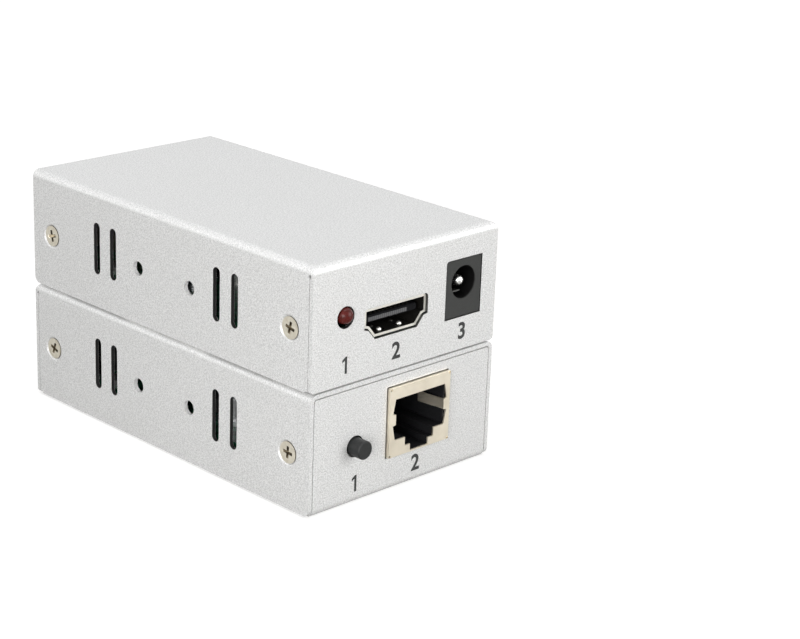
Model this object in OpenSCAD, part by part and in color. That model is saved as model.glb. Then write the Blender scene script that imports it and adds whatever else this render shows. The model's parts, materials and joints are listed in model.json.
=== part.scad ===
// Signal extender pair: a transmitter below and a receiver resting on it, in two equal cases.
// A case is a cover folded from one sheet, and a tray that closes the bottom and the network end.
// Each case is drawn about the middle of its bottom, its picture socket's end toward -Y.
// In the pair the receiver stands that way, and the transmitter is turned half round below it.

/* [Case] */
// Width of each case
case_w = 46; // [45:0.5:54]
// Length of each case
case_l = 81; // [78:1:100]
// Height of each case
case_h = 23.2; // [22.6:0.2:28]
// Thickness of the folded sheet
sheet = 0.8; // [0.6:0.1:1]
// Inside radius of the folds
fold_r = 0.6; // [0.4:0.1:1]
// Play between the cover and the tray
tray_gap = 0.2; // [0.1:0.05:0.3]
// How far the cover's edges stay above the foot of the tray
foot_gap = 0.3; // [0.1:0.05:0.5]
// Corner radius at the foot of the cover's end face
end_foot_r = 0.7; // [0.4:0.1:2]
// Corner radius at the foot of the cover's long sides
side_foot_r = 1.3; // [0.8:0.1:3]
// Width of the open seam between the end face and a long side
seam_w = 0.15; // [0.1:0.05:0.3]
// Bore of the bend relief at the top of the seam
relief_d = 0.6; // [0.4:0.1:1.2]
// Space left between the two cases by their finish
stack_gap = 0.05; // [0.02:0.01:0.2]

/* [Side openings] */
// Distance of the cover screws from each end
screw_inset = 5.8; // [5.2:0.1:7]
// Height of the cover screws
screw_z = 11; // [10:0.1:13]
// Width of a cooling slot
slot_w = 1.9; // [1.4:0.1:2.4]
// Length of a cooling slot
slot_l = 10.2; // [8:0.2:13]
// Height of the cooling slots' middle
slot_z = 12; // [10.6:0.1:13]
// Distance of the inner cooling slots from the middle of the case
slot_inner_y = 15.1; // [13:0.1:17]
// Spacing of the two cooling slots in a pair
slot_pitch = 5; // [4:0.1:6]
// Bore of the bracket holes
bracket_hole_d = 2.8; // [2.5:0.1:3.6]
// Spacing of the two bracket holes
bracket_pitch = 15; // [12:0.5:20]
// Height of the bracket holes
bracket_z = 11.2; // [10:0.1:13]

/* [Cover screws] */
// Thread diameter of a cover screw
screw_d = 2.5; // [2:0.1:3]
// Diameter of its countersunk head
screw_head_d = 4.1; // [3.8:0.1:5]
// Length of a cover screw over all
screw_l = 3.3; // [3:0.1:3.6]
// Depth of the head below the sheet's face
head_sink = 0.1; // [0.05:0.05:0.2]

/* [Circuit board] */
// Diameter of a standoff
standoff_d = 5; // [4.4:0.1:5.6]
// Thickness of the board
board_t = 1.6; // [1:0.1:1.8]
// Thread diameter of a board screw
board_screw_d = 3; // [2.5:0.1:3.2]
// Diameter of its pan head
pan_head_d = 5.5; // [5:0.1:6]

/* [Picture socket] */
// Width of the socket's shell
hdmi_w = 15.3; // [14.5:0.1:15.6]
// Height of the socket's shell
hdmi_h = 5.5; // [5.2:0.1:5.8]
// Width of the shell's narrow foot
hdmi_foot_w = 10.3; // [9.6:0.1:10.8]
// Length of the shell
hdmi_l = 11.2; // [10:0.1:12.5]
// Sheet of the shell
hdmi_wall = 0.45; // [0.3:0.05:0.5]
// Depth of the shell's mouth behind the end face
hdmi_recess = 0.5; // [0.3:0.05:0.7]

/* [Network socket] */
// Width of the shielded jack
rj_w = 15.4; // [15:0.1:16.4]
// Height of the shielded jack
rj_h = 13.4; // [13:0.1:13.8]
// Length of the shielded jack
rj_l = 16; // [15:0.1:18]
// How far the shield stands out of the end face
rj_proud = 0.75; // [0.4:0.05:1.2]
// Sheet of the shield
rj_wall = 0.3; // [0.2:0.05:0.4]
// Place of the jack across the case, from its middle
rj_x = -3.5; // [-4:0.1:-2]

/* [Power socket] */
// Width of the power socket
jack_w = 9; // [8.8:0.1:9.4]
// Height of the power socket
jack_h = 10.9; // [10.8:0.1:11.4]
// Length of the power socket
jack_l = 14.2; // [13:0.1:15]
// Bore for the plug
jack_bore_d = 6.3; // [6:0.1:6.6]
// Diameter of the centre pin
jack_pin_d = 2; // [1.6:0.1:2.5]
// Distance of the socket's middle from the case's side
jack_side = 8.6; // [8.4:0.1:9.4]

/* [Status light] */
// Diameter of the lens
led_d = 3.1; // [2.6:0.1:3.2]
// Bore of the hole for it
led_hole_d = 4.1; // [3.9:0.1:4.6]
// Distance of the hole's middle from the case's side
led_side = 7.85; // [7.4:0.05:8.4]
// Height of the hole's middle above the board
led_hole_z = 5.95; // [5.4:0.05:6.6]
// How far the lens stands out of the end face
led_proud = 1.2; // [0.6:0.1:2]

/* [Push button] */
// Diameter of the button
button_d = 3.5; // [3.2:0.1:3.7]
// Bore of the hole for it
button_hole_d = 4.1; // [3.9:0.1:4.6]
// How far the button stands out of the end face
button_proud = 2.7; // [1.5:0.1:4]
// Distance of the button's axis from the case's side
button_side = 11; // [10:0.1:12]
// Height of the button's axis above the board
button_z = 4.3; // [3.9:0.1:4.8]
// Travel of the button
button_travel = 0.25; // [0.15:0.05:0.3]

/* [Hidden] */
$fn = 48;

// Lengths that many pieces share
overrun = 1;            // how far a cut runs past the face that it leaves
fit_gap = 0.05;         // between pieces that sit in one another
cut_gap = 0.2;          // between a socket and the edge of its opening in the sheet
end_y = case_l / 2;
side_x = case_w / 2;
bend_r = fold_r + sheet;

// Heights: what the tallest socket and the sheets leave free is shared between the room over that socket
// and the standoffs below the board
standoff_share = 2 / 3;
standoff_h = standoff_share * (case_h - 2 * sheet - board_t - rj_h);
board_top = sheet + standoff_h + board_t;

// Tray
tray_w = case_w - 2 * (sheet + tray_gap);
panel_h = case_h - sheet - tray_gap;
tab_w = 8;
tab_h = 15;
tab_corner_r = 2;

// Cover screws
screw_y = end_y - screw_inset;
head_edge = 0.15;       // of the screw's head, before its taper
screw_slope = (screw_head_d - screw_d) / (sheet + tray_gap / 2 - head_sink - head_edge);
sink_gap = 0.1;
recess_turns = [13, -13, 20, 5];   // how far each screw's recess is turned
recess_w = 0.6;
recess_span = 2.4;
recess_depth = 1.1;

// Board, its standoffs and screws
board_gap = 0.8;        // from the board's edge to the tray's tabs
board_end_gap = 0.7;    // from the board's edge to the case's ends
board_corner_r = 1;
board_w = tray_w - 2 * (sheet + board_gap);
board_l = case_l - 2 * (sheet + board_end_gap);
post_edge = 3.4;        // from a standoff's axis to the board's long edge
post_inset = 20.5;      // from a standoff's axis to the case's end
post_x = board_w / 2 - post_edge;
post_y = end_y - post_inset;
standoff_neck_d = 3.8;
board_screw_share = 0.66;    // of the standoff's height that a board screw reaches down
board_screw_l = board_t + board_screw_share * standoff_h;
pan_head_h = 1.9;
pin_gap = 0.1;          // round a pin in its hole in the board
pin_below = 0.8;        // how far pins stand out below the board

// Picture socket; heights are above the foot of its shell
hdmi_lift = 0.6;        // from the board to the shell
hdmi_side_h = 3.4;      // straight stretch of the shell's sides
hdmi_cut_gap = 0.25;
hdmi_cut_shift = 0.15;   // of the opening toward the light
hdmi_shoulder = 0.95;
hdmi_shoulder_drop = 0.25;
hdmi_corner_r = 0.55;
hdmi_cavity_l = 7.2;
tongue_w = 12;
tongue_t = 1.3;
tongue_z = 2.5;
tongue_back = 0.8;      // from the mouth to the tongue's edge
tongue_chamfer = 0.25;
contact_pitch = 1;
contact_w = 0.4;
contact_t = 0.12;
contact_foot = 0.9;
contact_back = 0.8;     // from the tongue's edge to the strips' ends
upper_contacts = 10;
lower_contacts = 9;
latch_x = 2.5;
latch_w = 1.5;
latch_l = 5;
latch_slit = 0.25;
latch_start = 1.2;
latch_bump_r = 0.6;
latch_bump_sink = 0.25; // of the bump's middle below the shell's inner face
latch_bump_share = 0.52; // of the spring's length, from its tip to the bump
shell_leg_w = 1.4;
shell_leg_y = 3.2;      // from the end face to the front legs
shell_leg_pitch = 5.6;

// Network socket; heights are above the board
mouth_w = 12.6;
mouth_flare = 0.6;
mouth_z = 3.25;
mouth_roof = 2.25;      // from the mouth's top to the shield's
mouth_top_z = rj_h - mouth_roof;
finger_z = 6.2;
finger_h = 2;
finger_ledge = 0.15;
finger_lean = 0.7;
finger_l = 6;
finger_t = 0.2;
step_w = 7.35;
step_z = 1.6;
key_w = 4.6;
key_z = 0.3;
shield_relief_d = 0.5;
shield_leg_w = 1.6;
shield_leg_y = 7.6;
housing_back = 0.1;     // from the shield's front sheet to the moulding
plug_depth = 12.4;
wire_count = 8;
wire_pitch = 1.02;
wire_w = 0.4;
wire_t = 0.3;
wire_front_y = 1.9;
wire_roof = 1.5;        // from the wires' level runs to the shield's top
wire_top_z = rj_h - wire_roof;
wire_tip_y = 8.4;
wire_drop = 3.9;        // from the level runs to the wires' tips
wire_tip_z = wire_top_z - wire_drop;
wire_row_y = 11.4;      // from the shield's front to the pins' front row
wire_row_pitch = 1.8;
comb_w = 0.7;
peg_d = 3.2;
peg_x = 5.7;
peg_y = 5.6;

// Power socket; heights are above the board
jack_x = side_x - jack_side;
jack_edge = jack_x - jack_w / 2;
jack_recess = 0.1;
jack_flange_l = 3.4;
jack_waist = 0.3;
jack_axis_z = 6.45;
jack_bore_l = 9.6;
jack_key_r = 0.6;
jack_pin_back = 0.5;    // from the socket's face to the pin's tip
jack_rivet_d = 1.6;
terminal_t = 0.3;
terminal_w = 2.4;
terminal_y = 6.4;       // floor terminal, from the socket's face
side_terminal_y = 10.4;
side_terminal_h = 4.2;
leaf_l = 4.6;
leaf_rise = 0.7;
leaf_gap = 0.4;

// Status light; heights are above the board
led_x = -side_x + led_side;
led_lift_share = 0.6;   // of the play round the lens, as it sits high in its hole
led_lift = led_lift_share * (led_hole_d - led_d) / 2;
led_z = led_hole_z + led_lift;
led_l = 4.4;
led_rim = 0.4;
led_rim_t = 0.9;
light_edge = led_x + led_d / 2 + led_rim;
lead_w = 0.5;
lead_pitch = 2.54;
lead_back = 2;

// Place of the picture socket, between the status light and the power socket
hdmi_gap_share = 0.385; // of the room left beside its shell, on the light's side
hdmi_x = light_edge + hdmi_gap_share * (jack_edge - light_edge - hdmi_w) + hdmi_w / 2;

// Push button and its switch; heights are above the board
button_x = side_x - button_side;
button_chamfer = 0.2;
button_collar_d = 4.6;
button_collar_t = 0.8;
button_nub_d = 1.6;
button_nub_l = 0.6;
switch_w = 6;
switch_front = 0.5;     // from the end sheet to the bracket
bracket_t = 0.3;
switch_l = 3.4;
switch_well_d = 5;
dome_d = 4.4;
dome_rise = 0.5;
dome_t = 0.1;
dome_gap = button_travel + fit_gap;
dome_crown_z = bracket_t + fit_gap + button_collar_t + button_nub_l + dome_gap;   // from the bracket
well_floor_z = dome_crown_z + dome_rise + dome_t;
bracket_leg_w = 2;
switch_pin_x = 2.25;
switch_pin_t = 0.5;
switch_pin_y = 2.4;     // from the bracket

// Chips and other parts; their places are shares of the board's width and length
main_chip_share = [-0.05, -0.14];
driver_chip_share = [-0.06, 0.09];
regulator_share = [0.30, -0.12];
inductor_share = [0.31, 0.02];
capacitor_shares = [[0.33, 0.12], [-0.36, 0.02]];
crystal_share = [-0.05, -0.005];
choke_shares = [[-0.18, 0.22], [-0.04, 0.22], [0.10, 0.22]];
small_part_shares = [
    [-0.22, -0.28], [-0.15, -0.28], [-0.08, -0.28], [-0.01, -0.28], [0.06, -0.28],
    [-0.25, 0.02], [-0.25, 0.055], [-0.25, 0.09], [-0.25, 0.125], [0.18, -0.10], [0.18, -0.065],
    [0.18, -0.03], [0.18, 0.005], [0.18, 0.06], [0.18, 0.095], [0.18, 0.13]
];
chip_w = 10;
chip_t = 1.4;
chip_lift = 0.1;
chip_chamfer = 0.6;
chip_mark_d = 1;
chip_mark_depth = 0.1;
chip_lead_count = 16;
chip_pitch = 0.5;
chip_lead_w = 0.22;
chip_lead_t = 0.15;
chip_lead_reach = 1;
driver_w = 3.9;
driver_l = 9.9;
driver_lead_count = 8;
driver_pitch = 1.27;
driver_lead_w = 0.4;
regulator_w = 6.5;
regulator_l = 3.5;
regulator_h = 1.6;
regulator_pitch = 2.3;
regulator_lead_w = 0.7;
regulator_tab_w = 3;
inductor_w = 6;
inductor_h = 3;
inductor_corner = 1;
inductor_core_d = 4.6;
inductor_rim_d = 5.2;
inductor_groove = 0.3;
can_d = 5;
can_h = 5.4;
can_base_w = 5.3;
can_base_h = 0.9;
can_edge_r = 0.4;
can_waist_r = 0.25;
can_waist_z = 1.7;
crystal_w = 4.7;
crystal_l = 11;
crystal_h = 3.4;
crystal_rim = 0.35;
crystal_rim_t = 0.4;
choke_w = 3.2;
choke_l = 4.5;
choke_h = 2.6;
choke_cap = 0.6;
choke_waist = 0.4;
small_w = 0.8;
small_l = 1.6;
small_h = 0.5;
small_cap = 0.3;

// Colours
case_silver = [0.83, 0.83, 0.82];
screw_nickel = [0.86, 0.82, 0.72];
bright_tin = [0.80, 0.80, 0.78];
shield_tin = [0.88, 0.85, 0.76];
contact_gold = [0.83, 0.68, 0.32];
moulded_black = [0.10, 0.10, 0.11];
jack_grey = [0.25, 0.25, 0.26];
board_green = [0.06, 0.28, 0.16];
lens_red = [0.55, 0.08, 0.09];
can_silver = [0.78, 0.79, 0.80];
ferrite_grey = [0.22, 0.22, 0.23];
ceramic_tan = [0.70, 0.60, 0.45];

// Places

// The transmitter, turned so that its network end faces -Y
module transmitter() {
    rotate([0, 0, 180]) children();
}

// The receiver, lying on the transmitter
module receiver() {
    translate([0, 0, case_h + stack_gap]) children();
}

// At the picture socket's end: origin on the outer face, at the board's height, +Y into the case
module socket_end(x) {
    translate([x, -end_y, board_top]) children();
}

// At the network end, likewise with +Y into the case
module network_end(x) {
    translate([x, end_y, board_top]) rotate([0, 0, 180]) children();
}

// On the board, at a share of its width and length
module on_board(share) {
    translate([share.x * board_w, share.y * board_l, board_top]) children();
}

// At the four cover screws: origin on the long side's outer face, +Z into the case
module cover_screw_places() {
    corners = [for (across = [-1, 1]) for (along = [-1, 1]) [across, along]];
    for (i = [0:len(corners) - 1]) {
        $screw = i;
        translate([corners[i].x * side_x, corners[i].y * screw_y, screw_z])
            rotate([0, -corners[i].x * 90, 0]) children();
    }
}

// At the four standoffs
module post_places() {
    for (x = [-post_x, post_x]) {
        for (y = [-post_y, post_y]) {
            translate([x, y, 0]) children();
        }
    }
}

// Outlines and sections

function unit(v) = v / norm(v);
function turned(v) = [v.y, -v.x];
function mitre(a, b) = (turned(a) + turned(b)) / (1 + a * b);
function mirrored(points) = [for (i = [len(points) - 1:-1:0]) [-points[i].x, points[i].y]];

// Points of an arc about a centre
function arc(centre, r, from, to, steps = 6) =
    [for (i = [0:steps]) let (a = from + (to - from) * i / steps) centre + r * [cos(a), sin(a)]];

// An anticlockwise outline moved outward by g
function grown(outline, g) = let (n = len(outline)) [
    for (i = [0:n - 1])
        let (a = unit(outline[i] - outline[(i + n - 1) % n]), b = unit(outline[(i + 1) % n] - outline[i]))
        outline[i] + g * mitre(a, b)
];

// A path moved sideways by g
function flank(path, g) = let (last = len(path) - 1) [
    for (i = [0:last])
        let (p = max(i, 1), q = min(i + 1, last))
        path[i] + g * mitre(unit(path[p] - path[p - 1]), unit(path[q] - path[q - 1]))
];

// The outline of a strip of thickness t along a path
function strip(path, t) = let (back = flank(path, -t / 2))
    concat(flank(path, t / 2), [for (i = [len(back) - 1:-1:0]) back[i]]);

// Raises an (x, z) drawing along Y
module along_y(from, to) {
    translate([0, to, 0]) rotate([90, 0, 0]) linear_extrude(to - from) children();
}

// Raises a (y, z) drawing along X
module along_x(from, to) {
    translate([from, 0, 0]) rotate([90, 0, 90]) linear_extrude(to - from) children();
}

// A bent strip in the YZ plane, w wide about X = x
module bent_strip(path, t, w, x = 0) {
    along_x(x - w / 2, x + w / 2) polygon(strip(path, t));
}

// A block about X = 0 and Y = 0, standing at Z = z
module block(size, z = 0) {
    translate([-size.x / 2, -size.y / 2, z]) cube(size);
}

// A drawing of an arch: square foot, rounded upper corners
module arch(w, top, r, foot = 0) {
    translate([-w / 2, foot]) square([w, top - r - foot]);
    translate([-w / 2 + r, foot]) square([w - 2 * r, top - foot]);
    for (x = [-w / 2 + r, w / 2 - r]) translate([x, top - r]) circle(r);
}

// A drawing of an upright slot with round ends
module slot(w, l) {
    square([w, l - w], center = true);
    for (z = [-(l - w) / 2, (l - w) / 2]) translate([0, z]) circle(d = w);
}

// What a rounded corner at the origin loses
module corner_cut(r) {
    difference() {
        translate([-overrun, -overrun]) square(r + overrun);
        translate([r, r]) circle(r);
    }
}

// A drawing of sheet folded through a right angle, its outer corner at the origin
module fold(run, rise) {
    difference() {
        union() {
            translate([bend_r, 0]) square([run - bend_r, sheet]);
            translate([0, bend_r]) square([sheet, rise - bend_r]);
            intersection() {
                translate([bend_r, bend_r]) circle(bend_r);
                square(bend_r);
            }
        }
        translate([bend_r, bend_r]) circle(fold_r);
    }
}

// Cover

// The cover's form, moved in by inset, its folds rounded by r, with the foot and open end beyond the case
module cover_form(inset, r, beyond) {
    front = -end_y + inset;
    top = case_h - inset;
    intersection() {
        along_y(front, end_y + beyond) arch(case_w - 2 * inset, top, r, -beyond);
        along_x(-side_x, side_x) {
            translate([front, -beyond]) square([end_y + beyond - front, top - r + beyond]);
            translate([front + r, -beyond]) square([end_y + beyond - front - r, top + beyond]);
            translate([front + r, top - r]) circle(r);
        }
    }
}

// Slots, bracket holes and bend reliefs, through both long sides
module side_cuts() {
    along_x(-side_x - overrun, side_x + overrun) {
        for (along = [-1, 1]) {
            for (y = [slot_inner_y, slot_inner_y + slot_pitch]) {
                translate([along * y, slot_z]) slot(slot_w, slot_l);
            }
            translate([along * bracket_pitch / 2, bracket_z]) circle(d = bracket_hole_d);
        }
        translate([end_y, foot_gap]) mirror([1, 0]) corner_cut(side_foot_r);
    }
}

// The same thing on both long sides; it is drawn on the +X side
module both_sides() {
    for (turn = [0, 1]) mirror([turn, 0, 0]) children();
}

// The open seam between the end face and each long side, with a bend relief at its top
module seam_cuts() {
    seam_top = case_h - bend_r - relief_d / 2;
    both_sides() {
        along_x(side_x - sheet - fit_gap, side_x + overrun) {
            translate([-end_y + sheet, -overrun]) square([seam_w, seam_top + overrun]);
            translate([-end_y + sheet + seam_w / 2, seam_top]) circle(d = relief_d);
        }
    }
}

// Openings of the picture socket's end, and the end face's rounded feet
module socket_end_cuts() {
    along_y(-end_y - overrun, -end_y + sheet + overrun) {
        translate([led_x, board_top + led_hole_z]) circle(d = led_hole_d);
        translate([hdmi_x - hdmi_cut_shift, board_top + hdmi_lift])
            polygon(grown(hdmi_outline(), hdmi_cut_gap));
        translate([jack_x, board_top]) jack_face(cut_gap);
        for (turn = [0, 1]) mirror([turn, 0]) translate([-side_x, foot_gap]) corner_cut(end_foot_r);
    }
}

// Countersinks for the cover screws, parallel to their heads
module countersinks() {
    wide = screw_head_d + 2 * sink_gap + screw_slope * (head_sink + head_edge);
    cover_screw_places() {
        cylinder(h = sheet, d1 = wide, d2 = wide - screw_slope * sheet);
        translate([0, 0, -overrun]) cylinder(h = overrun, d = wide);
        translate([0, 0, sheet]) cylinder(h = overrun / 2, d = wide - screw_slope * sheet);
    }
}

// Top, long sides and the socket end, folded from one sheet
module cover_sheet() {
    difference() {
        cover_form(0, bend_r, 0);
        cover_form(sheet, fold_r, overrun);
        side_cuts();
        seam_cuts();
        socket_end_cuts();
        countersinks();
        translate([-side_x - overrun, -end_y - overrun, -overrun])
            cube([case_w + 2 * overrun, case_l + 2 * overrun, overrun + foot_gap]);
    }
}

// Tray

// Bottom and network end, folded from one sheet, with an opening for the network jack
module tray_plate(with_button) {
    back = -end_y + sheet + tray_gap;
    difference() {
        intersection() {
            along_x(-tray_w / 2, tray_w / 2) {
                translate([end_y, 0]) mirror([1, 0]) fold(end_y - back, panel_h);
            }
            along_y(back, end_y) arch(tray_w, panel_h, fold_r);
        }
        along_y(end_y - sheet - overrun, end_y + overrun) {
            translate([rj_x, board_top + rj_h / 2]) {
                square([rj_w + 2 * cut_gap, rj_h + 2 * cut_gap], center = true);
            }
            if (with_button) translate([button_x, board_top + button_z]) circle(d = button_hole_d);
        }
    }
}

// A tab folded up from the tray's edge, that a cover screw is driven into
module screw_tab(y) {
    difference() {
        along_y(y - tab_w / 2, y + tab_w / 2) {
            translate([tray_w / 2, 0]) mirror([1, 0]) fold(bend_r + overrun, tab_h);
        }
        along_x(tray_w / 2 - sheet - overrun, tray_w / 2 + overrun) {
            translate([y, screw_z]) circle(d = screw_d + 2 * fit_gap);
            for (turn = [0, 1]) {
                translate([y, tab_h]) mirror([turn, 0]) translate([-tab_w / 2, 0]) {
                    mirror([0, 1]) corner_cut(tab_corner_r);
                }
            }
        }
    }
}

// What the tray's edge loses where a tab is folded up from it
module tab_notch(y) {
    translate([tray_w / 2 - bend_r, y - tab_w / 2, -overrun]) cube([bend_r + overrun, tab_w, tray_w]);
}

// The whole tray, bored for the standoffs' necks
module tray(with_button) {
    difference() {
        union() {
            difference() {
                tray_plate(with_button);
                both_sides() {
                    tab_notch(screw_y);
                    tab_notch(-screw_y);
                }
            }
            both_sides() {
                screw_tab(screw_y);
                screw_tab(-screw_y);
            }
        }
        post_places() translate([0, 0, -overrun]) cylinder(h = sheet + 2 * overrun, d = standoff_neck_d);
    }
}

// Fasteners

// A cross recess, pointed below, cut from Z = 0 into +Z
module cross_recess(span, w, depth) {
    intersection() {
        union() {
            translate([-span / 2, -w / 2, -overrun]) cube([span, w, depth + overrun]);
            translate([-w / 2, -span / 2, -overrun]) cube([w, span, depth + overrun]);
        }
        union() {
            cylinder(h = depth, d1 = span, d2 = w / 2);
            translate([0, 0, -overrun]) cylinder(h = overrun, d = span);
        }
    }
}

// A countersunk cover screw, its axis along Z, its recess turned
module cover_screw(turn) {
    taper_h = (screw_head_d - screw_d) / screw_slope;
    translate([0, 0, head_sink]) difference() {
        union() {
            cylinder(h = head_edge, d = screw_head_d);
            translate([0, 0, head_edge]) cylinder(h = taper_h, d1 = screw_head_d, d2 = screw_d);
            cylinder(h = screw_l, d = screw_d);
        }
        rotate(turn) cross_recess(recess_span, recess_w, recess_depth);
    }
}

module cover_screws() {
    cover_screw_places() cover_screw(recess_turns[$screw]);
}

// Standoffs, their necks pressed into the tray's bottom, bored for the board screws
module standoffs() {
    post_places() {
        difference() {
            union() {
                cylinder(h = sheet, d = standoff_neck_d);
                translate([0, 0, sheet]) cylinder(h = standoff_h, d = standoff_d);
            }
            translate([0, 0, sheet]) cylinder(h = standoff_h + overrun, d = board_screw_d + 2 * fit_gap);
        }
    }
}

// Screws that hold the board, with rounded pan heads
module board_screws() {
    dome_share = 0.55;
    edge_h = pan_head_h * (1 - dome_share);
    crown_h = pan_head_h * dome_share;
    crown_r = (pow(pan_head_d / 2, 2) + pow(crown_h, 2)) / (2 * crown_h);
    post_places() translate([0, 0, board_top]) {
        difference() {
            union() {
                translate([0, 0, -board_screw_l]) cylinder(h = board_screw_l, d = board_screw_d);
                cylinder(h = edge_h, d = pan_head_d);
                translate([0, 0, edge_h]) intersection() {
                    translate([0, 0, crown_h - crown_r]) sphere(crown_r);
                    cylinder(h = crown_h + overrun, d = pan_head_d);
                }
            }
            translate([0, 0, pan_head_h]) mirror([0, 0, 1]) {
                cross_recess(recess_span, recess_w, recess_depth);
            }
        }
    }
}

// Circuit board

// Slots and holes in the board for every leg and pin that goes through it
module board_holes() {
    socket_end(hdmi_x) shell_legs(pin_gap);
    socket_end(jack_x) jack_legs(pin_gap);
    socket_end(led_x) lead_legs(pin_gap);
    network_end(rj_x) {
        shield_legs(pin_gap);
        housing_pegs(pin_gap);
        wire_pins(pin_gap);
    }
}

module circuit_board(with_button) {
    difference() {
        translate([0, 0, board_top - board_t]) linear_extrude(board_t) difference() {
            square([board_w, board_l], center = true);
            for (x = [0, 1]) {
                for (y = [0, 1]) {
                    mirror([x, 0]) mirror([0, y]) translate([-board_w / 2, -board_l / 2]) {
                        corner_cut(board_corner_r);
                    }
                }
            }
        }
        board_holes();
        if (with_button) network_end(button_x) {
            switch_legs(pin_gap);
            switch_pins(pin_gap);
        }
        post_places() translate([0, 0, board_top - board_t - overrun]) {
            cylinder(h = board_t + 2 * overrun, d = board_screw_d + 2 * pin_gap);
        }
    }
}

// Picture socket

// The shell's outline: straight upper sides, shoulders and slanting flanks above a narrow foot
function hdmi_outline() = let (
    w = hdmi_w / 2,
    side_z = hdmi_h - hdmi_side_h,
    right = concat(
        [[hdmi_foot_w / 2, 0], [w - hdmi_shoulder, side_z - hdmi_shoulder_drop], [w, side_z]],
        arc([w - hdmi_corner_r, hdmi_h - hdmi_corner_r], hdmi_corner_r, 0, 90)
    )
) concat(right, mirrored(right));

// Places children at the socket's mouth, on the foot of its shell
module hdmi_place() {
    translate([0, hdmi_recess, hdmi_lift]) children();
}

// Legs that hold the shell in the board
module shell_legs(gap = 0) {
    bottom = -board_t - pin_below - (gap > 0 ? overrun : 0);
    for (across = [-1, 1]) {
        for (y = [shell_leg_y, shell_leg_y + shell_leg_pitch]) {
            translate([across * (hdmi_w - hdmi_wall) / 2 - hdmi_wall / 2 - gap, 0, bottom]) {
                translate([0, y - shell_leg_w / 2 - gap, 0])
                    cube([hdmi_wall + 2 * gap, shell_leg_w + 2 * gap, hdmi_lift + hdmi_h / 2 - bottom]);
            }
        }
    }
}

// Slits that free a latch spring in the shell's foot or roof
module latch_slits(z) {
    for (x = [-latch_x, latch_x]) {
        for (edge = [-1, 1]) {
            translate([x + edge * (latch_w + latch_slit) / 2 - latch_slit / 2, latch_start, z])
                cube([latch_slit, latch_l, hdmi_wall + 2 * fit_gap]);
        }
        translate([x - latch_w / 2 - latch_slit, latch_start - latch_slit, z])
            cube([latch_w + 2 * latch_slit, latch_slit, hdmi_wall + 2 * fit_gap]);
    }
}

module hdmi_shell() {
    bump_y = latch_start + latch_bump_share * latch_l;
    hdmi_place() {
        difference() {
            along_y(0, hdmi_l) polygon(hdmi_outline());
            along_y(-overrun, hdmi_l + overrun) polygon(grown(hdmi_outline(), -hdmi_wall));
            latch_slits(-fit_gap);
            latch_slits(hdmi_h - hdmi_wall - fit_gap);
        }
        for (x = [-latch_x, latch_x]) {
            translate([x, bump_y, hdmi_wall - latch_bump_sink]) difference() {
                sphere(latch_bump_r);
                translate([0, 0, -2 * latch_bump_r])
                    block([4 * latch_bump_r, 4 * latch_bump_r, 2 * latch_bump_r]);
            }
        }
    }
    shell_legs();
}

// Contact strips: along the tongue, through the moulding, and down to a foot on the board
module hdmi_contacts() {
    start = tongue_back + contact_back;
    foot = -hdmi_lift + contact_t / 2;
    upper_z = tongue_z + tongue_t + contact_t / 2;
    lower_z = tongue_z - contact_t / 2;
    upper_turn = hdmi_l + 2 * contact_foot;
    lower_turn = hdmi_l + contact_foot / 2;
    hdmi_place() {
        for (i = [0:upper_contacts - 1]) {
            bent_strip([[start, upper_z], [upper_turn, upper_z], [upper_turn, foot],
                [upper_turn + contact_foot, foot]], contact_t, contact_w,
                (i - (upper_contacts - 1) / 2) * contact_pitch);
        }
        for (i = [0:lower_contacts - 1]) {
            bent_strip([[start, lower_z], [lower_turn, lower_z], [lower_turn, foot],
                [lower_turn + contact_foot, foot]], contact_t, contact_w,
                (i - (lower_contacts - 1) / 2) * contact_pitch);
        }
    }
}

// The moulding that closes the shell behind and carries the tongue
module hdmi_insulator() {
    tip = tongue_back;
    tongue_top = tongue_z + tongue_t;
    difference() {
        hdmi_place() {
            along_y(hdmi_cavity_l, hdmi_l) polygon(grown(hdmi_outline(), -hdmi_wall - fit_gap));
            along_x(-tongue_w / 2, tongue_w / 2) polygon([
                [tip + tongue_chamfer, tongue_z], [hdmi_cavity_l + fit_gap, tongue_z],
                [hdmi_cavity_l + fit_gap, tongue_top], [tip + tongue_chamfer, tongue_top],
                [tip, tongue_top - tongue_chamfer], [tip, tongue_z + tongue_chamfer]
            ]);
        }
        hdmi_contacts();
    }
}

// Network socket

// The mouth in the shield: flared sides, a ledge for each side spring, and steps for the plug's latch
function mouth_outline() = let (
    w = mouth_w / 2,
    flare = w + mouth_flare,
    right = [
        [key_w / 2, key_z], [key_w / 2, step_z], [step_w / 2, step_z], [step_w / 2, mouth_z], [w, mouth_z],
        [flare, finger_z - finger_ledge], [w - finger_ledge, finger_z],
        [w - finger_ledge, finger_z + finger_h], [flare, finger_z + finger_h + finger_ledge],
        [w, mouth_top_z]
    ]
) concat(right, mirrored(right));

// The plug's space in the moulding, which has plain sides
function plug_outline() = let (
    w = mouth_w / 2,
    right = [
        [key_w / 2, key_z], [key_w / 2, step_z], [step_w / 2, step_z], [step_w / 2, mouth_z], [w, mouth_z],
        [w, mouth_top_z]
    ]
) concat(right, mirrored(right));

// Places children at the shield's front, on the board
module rj_place() {
    translate([0, -rj_proud, 0]) children();
}

module shield_legs(gap = 0) {
    bottom = -board_t - pin_below - (gap > 0 ? overrun : 0);
    rj_place() for (across = [-1, 1]) {
        translate([across * (rj_w - rj_wall) / 2 - rj_wall / 2 - gap, shield_leg_y - gap, bottom])
            cube([rj_wall + 2 * gap, shield_leg_w + 2 * gap, rj_h / 2 - bottom]);
    }
}

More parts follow.
